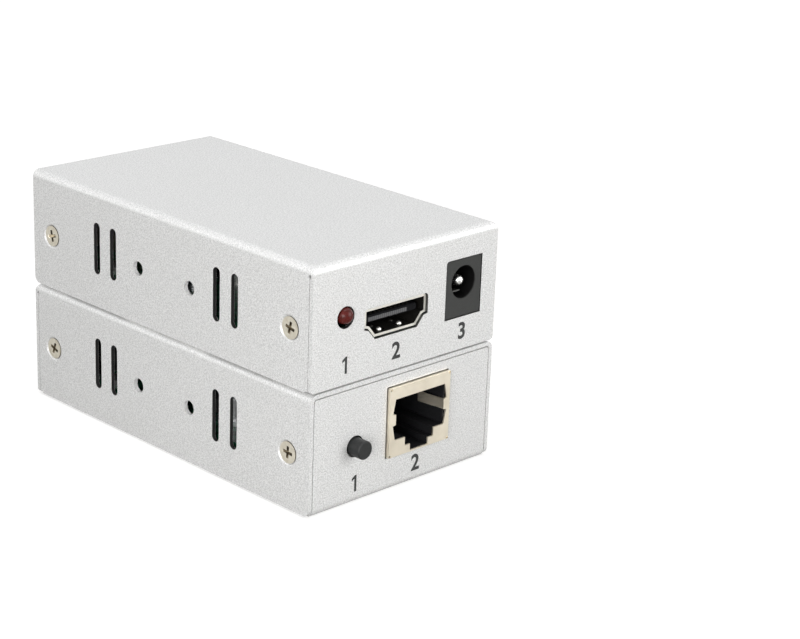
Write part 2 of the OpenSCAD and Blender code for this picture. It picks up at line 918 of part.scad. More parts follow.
// The jack's shield, folded from thin sheet, open below, its two side springs leaning inward
module network_shield() {
    inner_w = rj_w - 2 * rj_wall;
    rj_place() {
        difference() {
            translate([-rj_w / 2, 0, 0]) cube([rj_w, rj_l, rj_h]);
            translate([-inner_w / 2, rj_wall, -overrun])
                cube([inner_w, rj_l - 2 * rj_wall, rj_h - rj_wall + overrun]);
            along_y(-overrun, rj_wall + overrun) polygon(mouth_outline());
            for (x = [-1, 1]) {
                for (z = [shield_relief_d / 2, rj_h - shield_relief_d / 2]) {
                    translate([x * (rj_w - shield_relief_d) / 2, 0, z]) {
                        along_y(-overrun, rj_wall) circle(d = shield_relief_d);
                    }
                }
            }
        }
        both_sides() side_spring(mouth_w / 2 - finger_ledge);
    }
    shield_legs();
}

// A spring folded back into the mouth from the shield's front edge; root_x is the edge that it grows from
module side_spring(root_x) {
    translate([0, 0, finger_z]) linear_extrude(finger_h) polygon([
        [root_x, 0], [root_x + finger_t, 0], [root_x + finger_t, rj_wall],
        [root_x + finger_t - finger_lean, finger_l], [root_x - finger_lean, finger_l], [root_x, rj_wall]
    ]);
}

// The jack's moulding, with the plug's space, pockets behind the springs and a comb for the wires
module network_housing() {
    front = rj_wall + housing_back;
    w = rj_w - 2 * (rj_wall + fit_gap);
    back = rj_l - rj_wall - fit_gap;
    comb_z = wire_top_z + wire_t / 2 + fit_gap;
    difference() {
        union() {
            rj_place() {
                translate([-w / 2, front, 0]) cube([w, back - front, rj_h - rj_wall - fit_gap]);
            }
            housing_pegs();
        }
        rj_place() {
            along_y(-overrun, plug_depth) polygon(plug_outline());
            both_sides() {
                translate([mouth_w / 2 - overrun, -overrun, finger_z - finger_ledge])
                    cube([overrun + mouth_flare, finger_l + 2 * overrun, finger_h + 2 * finger_ledge]);
            }
            for (i = [0:wire_count - 1]) {
                translate([wire_x(i) - comb_w / 2, wire_front_y - wire_t, mouth_top_z - overrun])
                    cube([comb_w, plug_depth - wire_front_y + wire_t, comb_z - mouth_top_z + overrun]);
            }
        }
        wire_pins();
        wire_runs();
    }
}

module housing_pegs(gap = 0) {
    bottom = -board_t - (gap > 0 ? overrun : 0);
    rj_place() for (x = [-peg_x, peg_x]) {
        translate([x, peg_y, bottom]) cylinder(h = fit_gap - bottom, d = peg_d + 2 * gap);
    }
}

function wire_x(i) = (i - (wire_count - 1) / 2) * wire_pitch;
function wire_pin_y(i) = wire_row_y + wire_row_pitch * (i % 2);

// The wires' upright pins; neighbours stand in two rows
module wire_pins(gap = 0) {
    bottom = -board_t - pin_below - (gap > 0 ? overrun : 0);
    rj_place() for (i = [0:wire_count - 1]) {
        translate([wire_x(i) - wire_w / 2 - gap, wire_pin_y(i) - wire_t / 2 - gap, bottom])
            cube([wire_w + 2 * gap, wire_t + 2 * gap, wire_top_z + wire_t / 2 - bottom]);
    }
}

// The wires from the pins forward under the roof, and back down at a slant into the plug's space
module wire_runs() {
    rj_place() for (i = [0:wire_count - 1]) {
        bent_strip([[wire_pin_y(i), wire_top_z], [wire_front_y, wire_top_z],
            [wire_front_y + wire_t, wire_top_z - 2 * wire_t], [wire_tip_y, wire_tip_z]],
            wire_t, wire_w, wire_x(i));
    }
}

module network_contacts() {
    wire_pins();
    wire_runs();
}

// Power socket

// A drawing of the socket's face, one upper corner rounded
module jack_face(gap = 0) {
    difference() {
        translate([-jack_w / 2 - gap, -gap]) square([jack_w + 2 * gap, jack_h + 2 * gap]);
        translate([-jack_w / 2 - gap, jack_h + gap]) mirror([0, 1]) corner_cut(jack_key_r);
    }
}

// Places children at the socket's face; +Z points into the case along the bore's axis
module jack_axis() {
    translate([0, jack_recess, jack_axis_z]) rotate([-90, 0, 0]) children();
}

// Upright plates of the three terminals, from below the board upward
module jack_legs(gap = 0) {
    bottom = -board_t - pin_below - (gap > 0 ? overrun : 0);
    rear_x = jack_w / 2 - jack_waist;
    bore_foot = jack_axis_z - jack_bore_d / 2 + leaf_gap;
    translate([0, jack_recess, bottom]) {
        for (y_top = [[jack_l, jack_axis_z + terminal_w / 2], [terminal_y, bore_foot]]) {
            translate([-terminal_w / 2 - gap, y_top[0] - gap, 0])
                cube([terminal_w + 2 * gap, terminal_t + 2 * gap, y_top[1] - bottom]);
        }
        translate([rear_x - gap, side_terminal_y - terminal_w / 2 - gap, 0])
            cube([terminal_t + 2 * gap, terminal_w + 2 * gap, side_terminal_h - bottom]);
    }
}

// Rear, floor and side terminals; the floor one carries a leaf that presses on the plug
module power_terminals() {
    leaf_z = jack_axis_z - jack_bore_d / 2 + leaf_gap - terminal_t / 2;
    difference() {
        jack_legs();
        jack_axis() translate([0, 0, jack_l - overrun]) {
            cylinder(h = terminal_t + 2 * overrun, d = jack_rivet_d + 2 * fit_gap);
        }
    }
    translate([0, jack_recess, 0]) {
        bent_strip([[terminal_y + terminal_t / 2, leaf_z], [terminal_y - leaf_l, leaf_z + leaf_rise]],
            terminal_t, terminal_w - 2 * terminal_t);
    }
}

module power_housing() {
    rear_w = jack_w - 2 * jack_waist;
    difference() {
        translate([0, jack_recess, 0]) {
            along_y(0, jack_flange_l) jack_face();
            along_y(jack_flange_l, jack_l) {
                translate([0, jack_axis_z]) circle(d = rear_w);
                translate([-rear_w / 2, 0]) square([rear_w, jack_axis_z]);
            }
        }
        jack_axis() {
            translate([0, 0, -overrun]) cylinder(h = jack_bore_l + overrun, d = jack_bore_d);
            cylinder(h = jack_l + overrun, d = jack_rivet_d + 2 * fit_gap);
        }
        jack_legs(fit_gap);
    }
}

// The centre pin, round at its tip, with a thin rivet through the moulding and the rear terminal
module power_pin() {
    r = jack_pin_d / 2;
    jack_axis() {
        translate([0, 0, jack_pin_back + r]) {
            sphere(r);
            cylinder(h = jack_bore_l - jack_pin_back - r, r = r);
        }
        translate([0, 0, jack_bore_l]) cylinder(h = jack_l - jack_bore_l + 2 * terminal_t, d = jack_rivet_d);
    }
}

// Status light

module status_light() {
    r = led_d / 2;
    translate([0, -led_proud, led_z]) rotate([-90, 0, 0]) {
        translate([0, 0, r]) sphere(r);
        translate([0, 0, r]) cylinder(h = led_l - r, r = r);
        translate([0, 0, led_l - led_rim_t]) cylinder(h = led_rim_t, r = r + led_rim);
    }
}

// Upright stretches of the light's leads
module lead_legs(gap = 0) {
    bottom = -board_t - pin_below - (gap > 0 ? overrun : 0);
    y = led_l - led_proud + lead_back;
    w = lead_w + 2 * gap;
    for (x = [-lead_pitch / 2, lead_pitch / 2]) {
        translate([x - w / 2, y - w / 2, bottom]) cube([w, w, led_z - bottom]);
    }
}

// The light's leads, back from the lens and down through the board
module light_leads() {
    base_y = led_l - led_proud;
    lead_legs();
    for (x = [-lead_pitch / 2, lead_pitch / 2]) {
        bent_strip([[base_y, led_z], [base_y + lead_back + lead_w / 2, led_z]], lead_w, lead_w, x);
    }
}

// Push button and its switch

// Places children at the front of the switch's bracket; +Z points into the case along the axis
module switch_axis() {
    translate([0, sheet + switch_front, button_z]) rotate([-90, 0, 0]) children();
}

// The button: a chamfered stem, a collar that keeps it in the switch, and a nub toward the dome
module push_button() {
    stem_l = button_proud + sheet + switch_front;
    collar_z = bracket_t + fit_gap;
    switch_axis() {
        translate([0, 0, -stem_l]) {
            cylinder(h = button_chamfer, d1 = button_d - 2 * button_chamfer, d2 = button_d);
            translate([0, 0, button_chamfer]) cylinder(h = stem_l - button_chamfer + collar_z, d = button_d);
        }
        translate([0, 0, collar_z]) {
            cylinder(h = button_collar_t, d = button_collar_d);
            cylinder(h = button_collar_t + button_nub_l, d = button_nub_d);
        }
    }
}

// The moulded switch body with its round well
module switch_housing() {
    switch_axis() difference() {
        translate([0, 0, bracket_t]) block([switch_w, switch_w, switch_l]);
        cylinder(h = well_floor_z, d = switch_well_d);
    }
}

module switch_bracket() {
    w = switch_w + 2 * bracket_t;
    switch_axis() difference() {
        block([w, switch_w, switch_l]);
        translate([0, 0, bracket_t]) block([switch_w, switch_w + overrun, switch_l]);
        translate([0, 0, -overrun]) cylinder(h = bracket_t + 2 * overrun, d = button_d + 2 * fit_gap);
    }
    switch_legs();
}

// Legs that hold the bracket in the board
module switch_legs(gap = 0) {
    bottom = -board_t - pin_below - (gap > 0 ? overrun : 0);
    for (x = [-1, 1]) {
        translate([x * (switch_w + bracket_t) / 2, sheet + switch_front + switch_l / 2, 0]) {
            block([bracket_t + 2 * gap, bracket_leg_w + 2 * gap, button_z - bottom], bottom);
        }
    }
}

// The snap dome under the nub, a cap of thin sheet turned about the axis
module switch_dome() {
    r = (pow(dome_d / 2, 2) + pow(dome_rise, 2)) / (2 * dome_rise);
    reach = 270 + asin(dome_d / 2 / r);
    switch_axis() translate([0, 0, dome_crown_z]) rotate_extrude() {
        polygon(concat(arc([0, r], r, 270, reach), arc([0, r], r - dome_t, reach, 270)));
    }
}

module switch_pins(gap = 0) {
    bottom = -board_t - pin_below - (gap > 0 ? overrun : 0);
    for (x = [-switch_pin_x, switch_pin_x]) {
        translate([x, sheet + switch_front + switch_pin_y, 0]) {
            block([switch_pin_t + 2 * gap, bracket_t + 2 * gap, button_z - switch_w / 2 - bottom], bottom);
        }
    }
}

// Chips and other parts on the board

// A row of bent leads along the edge of a chip, the edge at Y = edge
module lead_row(count, pitch, w, edge) {
    z = chip_lift + chip_t / 2;
    knee_share = 0.35;
    foot_share = 0.6;
    for (i = [0:count - 1]) {
        bent_strip([[edge, z], [edge + knee_share * chip_lead_reach, z],
            [edge + foot_share * chip_lead_reach, chip_lead_t / 2],
            [edge + chip_lead_reach, chip_lead_t / 2]],
            chip_lead_t, w, (i - (count - 1) / 2) * pitch);
    }
}

// A chip's moulded body, one corner cut off and a round mark beside it
module chip_body(w, l) {
    difference() {
        translate([0, 0, chip_lift]) linear_extrude(chip_t) polygon([
            [-w / 2 + chip_chamfer, -l / 2], [w / 2, -l / 2], [w / 2, l / 2], [-w / 2, l / 2],
            [-w / 2, -l / 2 + chip_chamfer]
        ]);
        translate([-w / 2 + 2 * chip_mark_d, -l / 2 + 2 * chip_mark_d, chip_lift + chip_t - chip_mark_depth])
            cylinder(h = chip_mark_depth + overrun, d = chip_mark_d);
    }
}

module main_chip() {
    on_board(main_chip_share) {
        chip_body(chip_w, chip_w);
        for (turn = [0:3]) {
            rotate([0, 0, 90 * turn]) lead_row(chip_lead_count, chip_pitch, chip_lead_w, chip_w / 2);
        }
    }
}

module driver_chip() {
    on_board(driver_chip_share) {
        rotate([0, 0, 90]) chip_body(driver_w, driver_l);
        for (turn = [0, 1]) {
            rotate([0, 0, 180 * turn])
                lead_row(driver_lead_count, driver_pitch, driver_lead_w, driver_w / 2);
        }
    }
}

module regulator() {
    on_board(regulator_share) {
        translate([0, 0, chip_lift]) block([regulator_w, regulator_l, regulator_h]);
        lead_row(3, regulator_pitch, regulator_lead_w, regulator_l / 2);
        rotate([0, 0, 180]) lead_row(1, regulator_pitch, regulator_tab_w, regulator_l / 2);
    }
}

// A shielded coil: a chamfered square pot with a round core in its top
module inductor() {
    a = inductor_w / 2;
    b = a - inductor_corner;
    on_board(inductor_share) difference() {
        linear_extrude(inductor_h) polygon([
            [a, -b], [a, b], [b, a], [-b, a], [-a, b], [-a, -b], [-b, -a], [b, -a]
        ]);
        translate([0, 0, inductor_h - inductor_groove]) difference() {
            cylinder(h = inductor_groove + overrun, d = inductor_rim_d);
            cylinder(h = inductor_groove + overrun, d = inductor_core_d);
        }
    }
}

// Electrolytic cans, crimped above their square feet
module capacitors() {
    r = can_d / 2;
    a = can_base_w / 2;
    for (share = capacitor_shares) on_board(share) {
        linear_extrude(can_base_h) polygon([
            [-a, -a], [a, -a], [a, a - can_base_h], [a - can_base_h, a], [can_base_h - a, a],
            [-a, a - can_base_h]
        ]);
        difference() {
            rotate_extrude() polygon(concat(
                [[0, can_base_h], [r, can_base_h]],
                arc([r - can_edge_r, can_h - can_edge_r], can_edge_r, 0, 90), [[0, can_h]]
            ));
            rotate_extrude() translate([r + can_waist_r / 2, can_waist_z]) circle(can_waist_r);
        }
    }
}

// A quartz can on its rim
module crystal() {
    on_board(crystal_share) rotate([0, 0, 90]) {
        linear_extrude(crystal_rim_t) slot(crystal_w, crystal_l);
        linear_extrude(crystal_h) slot(crystal_w - 2 * crystal_rim, crystal_l - 2 * crystal_rim);
    }
}

// Coils between the driver and the network jack: a wound waist between two end blocks
module line_chokes() {
    for (share = choke_shares) on_board(share) {
        block([choke_w - choke_waist, choke_l - choke_cap, choke_h - choke_waist], choke_waist / 2);
        for (y = [-1, 1]) {
            translate([0, y * (choke_l - choke_cap) / 2, 0]) block([choke_w, choke_cap, choke_h]);
        }
    }
}

// Small resistors and capacitors with end caps
module small_parts() {
    for (share = small_part_shares) on_board(share) {
        block([small_w - fit_gap, small_l - small_cap, small_h - fit_gap]);
        for (y = [-1, 1]) {
            translate([0, y * (small_l - small_cap) / 2, 0]) block([small_w, small_cap, small_h]);
        }
    }
}

// The transmitter's pieces

module tx_cover() {
    color(case_silver) transmitter() cover_sheet();
}

module tx_base() {
    color(case_silver) transmitter() tray(true);
}

module tx_cover_screws() {
    color(screw_nickel) transmitter() cover_screws();
}

module tx_standoffs() {
    color(bright_tin) transmitter() standoffs();
}

module tx_circuit_board() {
    color(board_green) transmitter() circuit_board(true);
}

module tx_board_screws() {
    color(bright_tin) transmitter() board_screws();
}

module tx_hdmi_shell() {
    color(shield_tin) transmitter() socket_end(hdmi_x) hdmi_shell();
}

module tx_hdmi_insulator() {
    color(moulded_black) transmitter() socket_end(hdmi_x) hdmi_insulator();
}

module tx_hdmi_contacts() {
    color(contact_gold) transmitter() socket_end(hdmi_x) hdmi_contacts();
}

module tx_network_shield() {
    color(shield_tin) transmitter() network_end(rj_x) network_shield();
}

module tx_network_housing() {
    color(moulded_black) transmitter() network_end(rj_x) network_housing();
}

module tx_network_contacts() {
    color(contact_gold) transmitter() network_end(rj_x) network_contacts();
}

module tx_power_housing() {
    color(jack_grey) transmitter() socket_end(jack_x) power_housing();
}

module tx_power_pin() {
    color(bright_tin) transmitter() socket_end(jack_x) power_pin();
}

module tx_power_terminals() {
    color(bright_tin) transmitter() socket_end(jack_x) power_terminals();
}

module tx_status_light() {
    color(lens_red) transmitter() socket_end(led_x) status_light();
}

module tx_light_leads() {
    color(bright_tin) transmitter() socket_end(led_x) light_leads();
}

module tx_push_button() {
    color(moulded_black) transmitter() network_end(button_x) push_button();
}

module tx_switch_housing() {
    color(moulded_black) transmitter() network_end(button_x) switch_housing();
}

module tx_switch_bracket() {
    color(bright_tin) transmitter() network_end(button_x) switch_bracket();
}

module tx_switch_dome() {
    color(bright_tin) transmitter() network_end(button_x) switch_dome();
}

module tx_switch_pins() {
    color(bright_tin) transmitter() network_end(button_x) switch_pins();
}

module tx_main_chip() {
    color(moulded_black) transmitter() main_chip();
}

module tx_driver_chip() {
    color(moulded_black) transmitter() driver_chip();
}

module tx_regulator() {
    color(moulded_black) transmitter() regulator();
}

module tx_inductor() {
    color(ferrite_grey) transmitter() inductor();
}

module tx_capacitors() {
    color(can_silver) transmitter() capacitors();
}

module tx_crystal() {
    color(bright_tin) transmitter() crystal();
}

module tx_line_chokes() {
    color(ferrite_grey) transmitter() line_chokes();
}

module tx_small_parts() {
    color(ceramic_tan) transmitter() small_parts();
}

// The receiver's pieces

module rx_cover() {
    color(case_silver) receiver() cover_sheet();
}

module rx_base() {
    color(case_silver) receiver() tray(false);
}

module rx_cover_screws() {
    color(screw_nickel) receiver() cover_screws();
}

module rx_standoffs() {
    color(bright_tin) receiver() standoffs();
}

module rx_circuit_board() {
    color(board_green) receiver() circuit_board(false);
}

module rx_board_screws() {
    color(bright_tin) receiver() board_screws();
}

module rx_hdmi_shell() {
    color(shield_tin) receiver() socket_end(hdmi_x) hdmi_shell();
}

module rx_hdmi_insulator() {
    color(moulded_black) receiver() socket_end(hdmi_x) hdmi_insulator();
}

module rx_hdmi_contacts() {
    color(contact_gold) receiver() socket_end(hdmi_x) hdmi_contacts();
}

module rx_network_shield() {
    color(shield_tin) receiver() network_end(rj_x) network_shield();
}

module rx_network_housing() {
    color(moulded_black) receiver() network_end(rj_x) network_housing();
}

module rx_network_contacts() {
    color(contact_gold) receiver() network_end(rj_x) network_contacts();
}

module rx_power_housing() {
    color(jack_grey) receiver() socket_end(jack_x) power_housing();
}

module rx_power_pin() {
    color(bright_tin) receiver() socket_end(jack_x) power_pin();
}

module rx_power_terminals() {
    color(bright_tin) receiver() socket_end(jack_x) power_terminals();
}

module rx_status_light() {
    color(lens_red) receiver() socket_end(led_x) status_light();
}

module rx_light_leads() {
    color(bright_tin) receiver() socket_end(led_x) light_leads();
}

module rx_main_chip() {
    color(moulded_black) receiver() main_chip();
}

module rx_driver_chip() {
    color(moulded_black) receiver() driver_chip();
}

module rx_regulator() {
    color(moulded_black) receiver() regulator();
}

module rx_inductor() {
    color(ferrite_grey) receiver() inductor();
}

module rx_capacitors() {
    color(can_silver) receiver() capacitors();
}

module rx_crystal() {
    color(bright_tin) receiver() crystal();
}

module rx_line_chokes() {
    color(ferrite_grey) receiver() line_chokes();
}

module rx_small_parts() {
    color(ceramic_tan) receiver() small_parts();
}

tx_cover();
tx_base();
tx_cover_screws();
tx_standoffs();
tx_circuit_board();
tx_board_screws();
tx_hdmi_shell();
tx_hdmi_insulator();
tx_hdmi_contacts();
tx_network_shield();
tx_network_housing();
tx_network_contacts();
tx_power_housing();
tx_power_pin();
tx_power_terminals();
tx_status_light();
tx_light_leads();
tx_push_button();
tx_switch_housing();
tx_switch_bracket();
tx_switch_dome();
tx_switch_pins();
tx_main_chip();
tx_driver_chip();
tx_regulator();
tx_inductor();
tx_capacitors();
tx_crystal();
tx_line_chokes();
tx_small_parts();
rx_cover();
rx_base();
rx_cover_screws();
rx_standoffs();
rx_circuit_board();
rx_board_screws();
rx_hdmi_shell();
rx_hdmi_insulator();
rx_hdmi_contacts();
rx_network_shield();
rx_network_housing();
rx_network_contacts();
rx_power_housing();
rx_power_pin();
rx_power_terminals();
rx_status_light();
rx_light_leads();
rx_main_chip();
rx_driver_chip();
rx_regulator();
rx_inductor();
rx_capacitors();
rx_crystal();
rx_line_chokes();
rx_small_parts();
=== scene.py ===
"""The looks of two stacked signal extender cases: a receiver lying on a transmitter."""

import json
import math

import bmesh
import bpy
from mathutils import Matrix, Vector


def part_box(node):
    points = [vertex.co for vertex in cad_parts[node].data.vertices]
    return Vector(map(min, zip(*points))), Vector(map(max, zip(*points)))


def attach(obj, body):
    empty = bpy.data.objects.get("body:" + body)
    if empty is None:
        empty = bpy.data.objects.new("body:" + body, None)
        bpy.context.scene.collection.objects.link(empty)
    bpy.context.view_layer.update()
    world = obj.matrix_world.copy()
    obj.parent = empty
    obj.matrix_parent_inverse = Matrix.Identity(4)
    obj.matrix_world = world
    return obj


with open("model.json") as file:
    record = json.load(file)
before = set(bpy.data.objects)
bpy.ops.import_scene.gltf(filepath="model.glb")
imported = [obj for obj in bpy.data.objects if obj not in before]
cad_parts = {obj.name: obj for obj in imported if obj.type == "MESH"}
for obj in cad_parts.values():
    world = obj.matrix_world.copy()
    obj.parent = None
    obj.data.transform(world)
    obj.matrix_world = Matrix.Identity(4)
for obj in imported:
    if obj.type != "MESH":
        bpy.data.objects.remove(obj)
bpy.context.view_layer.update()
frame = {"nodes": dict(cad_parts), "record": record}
MM = 0.001

# Places and sizes, in millimetres unless a name says otherwise

# The camera of the photograph
CAMERA_EYE = (-247.69, -282.84, 151.64)
CAMERA_AZIMUTH_DEG = -45.413
CAMERA_ELEVATION_DEG = 19.002
CAMERA_ROLL_DEG = 2.141
CAMERA_LENS = 92.474
CAMERA_SENSOR = 36.0
CAMERA_NEAREST = 10

# The cases' outside, and one case's sheet
SIDE_X = 23.0
END_Y = 40.5
CASE_H = 23.2
SHEET = 0.8

# Each unit's node prefix, body, side of its picture end along Y, and height of its foot
RECEIVER_Z = 23.25
UNITS = (("tx", "transmitter", 1, 0), ("rx", "receiver", -1, RECEIVER_Z))

# Where the sheet is cut through: distances from the case's middle, and for heights from its foot and its top
SLOTS_Y = (12, 30)
BRACKET_HOLES_Y = (4, 11)
OPENINGS_X = (0, 20.5)
OPENINGS_INSET_Z = 1.5

# From a sheet's faces to where its cut edge begins, and the most that a cut edge faces as the sheet does
CUT_INSET = 0.04
CUT_FACING = 0.3

# How far a mask reaches past the faces inside a case
FACE_MARGIN = 0.02

# From a case's side to the cover screws' faces, and on to where the recess in them counts as deep
HEAD_SINK = 0.1
RECESS_START = 0.03

# The ribbed band on the front of the picture socket's tongue, painted light for the tongue's lit top with the ribs
# of its contacts, with its x as on the receiver
TONGUE_TOP_Z = 11.2
BAND_BELOW_TOP = (1.02, 0.28)
BAND_X = (-8.6, 1.1)
BAND_FRONT = 0.06
RIB_HALF_PITCH = 0.25
RIB_SLOPE = (0.06, 0.19)

# How far behind its front a socket's part is still as bright as its front; deeper in, it gets painted shade
SHELL_RIM = 0.12
JACK_FACE = 0.25

# Polished dimples on the tips of the picture socket's latch springs
DIMPLE_APART = 5.0
DIMPLE_R = 0.5
DIMPLE_Y = 38.4
DIMPLE_Z = 7.77

# Port numbers printed on the ends, below each socket. The outline is that of a 1 of height 1.
DIGIT_H = 3.2
DIGIT_SHARE_OF_FONT = 0.73
DIGIT_MIDDLE_Z = 3.6
DIGIT_INK = 0.02
DIGIT_WEIGHT = 0.11
ONE_OUTLINE = ((0.02, 0), (0.18, 0), (0.18, 1), (0.06, 1), (-0.18, 0.82), (-0.18, 0.66), (0.02, 0.80))
PICTURE_END = ("status_light", "hdmi_shell", "power_housing")
NETWORK_ENDS = {"tx": ("push_button", "network_shield"), "rx": ("network_shield",)}

# Floor, its glow where it is seen, and the distances in metres between which it fades to plain white
FLOOR_REACH = 3000.0
FLOOR_COLOUR = (0.45, 0.446, 0.436)
FLOOR_GLOW = 0.65
FLOOR_FADE_M = (0.15, 0.9)

# Lamps: place and size in metres, watts and colour. All aim at one point.
WHITE = (1, 1, 1)
LAMPS = {
    "above": ((0.0, 0.15, 1.0), 0.8, 6.9, (0.98, 0.99, 1.0)),
    "left_low": ((-0.70, -0.34, 0.22), 0.5, 2.6, WHITE),
    "left_near": ((-0.32, -0.24, 0.10), 0.2, 0.85, WHITE),
    "right_low": ((0.42, -0.62, 0.26), 0.6, 4.6, WHITE),
    "rear_left": ((-0.45, 0.60, 0.26), 0.6, 0.9, WHITE),
}
LAMP_AIM_M = (0, 0, 0.02)

# The ranges that hold most of a noise, and its core
NOISE_MOST = (0.3, 0.7)
NOISE_CORE = (0.35, 0.65)

# The cases' paint, its flakes and its clouds
PAINT_DARK = (0.51, 0.51, 0.505)
PAINT_BRIGHT = (0.82, 0.82, 0.815)
PAINT_CLOUD = (0.62, 0.62, 0.60)
PAINT_ROUGH = (0.46, 0.34)
FINE_FLAKE = 0.14
COARSE_FLAKE = 0.27
FLAKE_RANGE = (0.38, 0.62)
FLAKE_DEPTH = 0.007
CLOUD_SIZE = 14
CLOUD_MOST = 0.10

# Painted shade on the faces inside the cases and on the cut edges of the slots and openings, and painted light on
# the walls of the bracket holes
PAINTED_INSIDE_SHADE = (0.10, 0.10, 0.098)
SHADED_EDGE = (0.035, 0.035, 0.034)
LIT_HOLE = (0.95, 0.95, 0.94)

# Relief of metal and of plastic; metal's gloss runs in streaks along Y
METAL_GRAIN = 0.25
METAL_DEPTH = 0.004
STREAK_SIZE = 0.2
STREAK_STRETCH = (1, 0.15, 1)
PLASTIC_GRAIN = 0.15
PLASTIC_DEPTH = 0.01

# Tracks below the board's mask: the patches that they go round, and their width as a share of those
BOARD_GREEN = (0.012, 0.09, 0.045)
TRACK_GREEN = (0.03, 0.19, 0.09)
BOARD_PATCH = 2.2
TRACK_SHARE = 0.12

# Depths that no lamp reaches
SCREW_RECESS_SHADE = (0.15, 0.125, 0.085)
SHELL_INSIDE_SHADE = (0.03, 0.028, 0.025)
JACK_BORE_SHADE = (0.002, 0.002, 0.002)


# Node trees

def node(tree, kind, values=None, **settings):
    """Adds a node. Values fill its sockets, each a plain value or another node's socket."""
    made = tree.nodes.new(kind)
    for name, value in settings.items():
        setattr(made, name, value)
    for key, value in (values or {}).items():
        if isinstance(value, bpy.types.NodeSocket):
            tree.links.new(value, made.inputs[key])
        else:
            made.inputs[key].default_value = value
    return made


def math_node(tree, operation, a, b=0.0):
    """The result of one operation on one or two values."""
    return node(tree, "ShaderNodeMath", {0: a, 1: b}, operation=operation).outputs[0]


def place(tree):
    """Points of the object in its own frame, in metres."""
    return node(tree, "ShaderNodeTexCoord").outputs["Object"]


def parts_of(tree, vector):
    """The x, y and z of a vector."""
    return node(tree, "ShaderNodeSeparateXYZ", {0: vector}).outputs[:3]


def size_of(tree, value):
    """The value without its sign."""
    return math_node(tree, "ABSOLUTE", value)


def within(tree, value, low, high):
    """1 where a length lies between low and high millimetres, else 0."""
    limits = {0: value, 1: (low + high) / 2 * MM, 2: (high - low) / 2 * MM}
    return node(tree, "ShaderNodeMath", limits, operation="COMPARE").outputs[0]


def every(tree, *masks):
    """1 where all masks are 1."""
    result = masks[0]
    for mask in masks[1:]:
        result = math_node(tree, "MULTIPLY", result, mask)
    return result


def either(tree, *masks):
    """1 where any mask is 1."""
    result = masks[0]
    for mask in masks[1:]:
        result = math_node(tree, "MAXIMUM", result, mask)
    return result


def noise(tree, size, detail=2.0, stretch=(1, 1, 1)):
    """Noise from 0 to 1 whose spots are about size millimetres across."""
    points = node(tree, "ShaderNodeMapping", {"Vector": place(tree), "Scale": stretch}).outputs[0]
    scale = 1 / (size * MM)
    return node(tree, "ShaderNodeTexNoise", {"Vector": points, "Scale": scale, "Detail": detail}).outputs[0]


def spread(tree, value, low, high, to_low=0.0, to_high=1.0):
    """Value moved from the range low to high onto the range to_low to to_high."""
    return node(tree, "ShaderNodeMapRange", {
        "Value": value, "From Min": low, "From Max": high, "To Min": to_low, "To Max": to_high,
    }).outputs[0]


def blend(tree, share, first, second):
    """A colour between first and second."""
    made = node(tree, "ShaderNodeMix", data_type="RGBA")
    for socket, value in ((0, share), (6, first), (7, second)):
        if isinstance(value, bpy.types.NodeSocket):
            tree.links.new(value, made.inputs[socket])
        else:
            made.inputs[socket].default_value = value if socket == 0 else (*value, 1.0)
    return made.outputs[2]


def mottled(size, dark, bright, detail=2.0):
    """A colour for finish that wanders from dark to bright over spots of size millimetres."""
    def colour(tree):
        return blend(tree, spread(tree, noise(tree, size, detail), *NOISE_MOST), dark, bright)

    return colour


def uneven(size, rough, stretch=(1, 1, 1)):
    """A roughness for finish that wanders between the two of rough over spots of size millimetres."""
    def wander(tree):
        return spread(tree, noise(tree, size, stretch=stretch), *NOISE_MOST, *rough)

    return wander


def finish(name, colour, rough, bump=None, **sockets):
    """A material. Colour, rough and bump are functions of its node tree; sockets are plain shader values."""
    material = bpy.data.materials.new(name)
    material.use_nodes = True
    tree = material.node_tree
    shader = tree.nodes["Principled BSDF"]
    for key, value in sockets.items():
        shader.inputs[key.replace("_", " ").title().replace("Ior", "IOR")].default_value = value
    tree.links.new(colour(tree), shader.inputs["Base Color"])
    tree.links.new(rough(tree), shader.inputs["Roughness"])
    if bump:
        height, depth = bump(tree)
        bumped = node(tree, "ShaderNodeBump", {"Height": height, "Distance": depth * MM, "Strength": 1.0})
        tree.links.new(bumped.outputs[0], shader.inputs["Normal"])
    return material


# Places on the cases

def cut_edges(tree):
    """Two masks: the cut edges of the slots and of the openings in the ends, which get painted shade, and those of
    the bracket holes, which get painted light.
    """
    x, y, z = (size_of(tree, part) for part in parts_of(tree, place(tree)))
    facing = node(tree, "ShaderNodeNewGeometry").outputs["True Normal"]
    across, along = (size_of(tree, part) for part in parts_of(tree, facing)[:2])
    through_side = every(tree, within(tree, x, SIDE_X - SHEET + CUT_INSET, SIDE_X - CUT_INSET),
                         math_node(tree, "LESS_THAN", across, CUT_FACING))
    through_end = every(tree, within(tree, y, END_Y - SHEET + CUT_INSET, END_Y - CUT_INSET),
                        math_node(tree, "LESS_THAN", along, CUT_FACING))
    heights = [within(tree, z, foot + OPENINGS_INSET_Z, foot + CASE_H - OPENINGS_INSET_Z)
               for foot in (0, RECEIVER_Z)]
    slots = every(tree, through_side, within(tree, y, *SLOTS_Y))
    openings = every(tree, through_end, within(tree, x, *OPENINGS_X), either(tree, *heights))
    holes = every(tree, through_side, within(tree, y, *BRACKET_HOLES_Y))
    return either(tree, slots, openings), holes


def inner_faces(tree, foot_z):
    """1 on the sheets' faces inside a case that stands at foot_z millimetres."""
    x, y, z = parts_of(tree, place(tree))
    reach_x = SIDE_X - SHEET + FACE_MARGIN
    reach_y = END_Y - SHEET + FACE_MARGIN
    return every(tree, within(tree, x, -reach_x, reach_x), within(tree, y, -reach_y, reach_y),
                 within(tree, z, foot_z + SHEET - FACE_MARGIN, foot_z + CASE_H - SHEET + FACE_MARGIN))


def front_of(box):
    """How far from the case's middle the box of a fitting in the receiver's picture end reaches, in millimetres."""
    return -box[0].y / MM


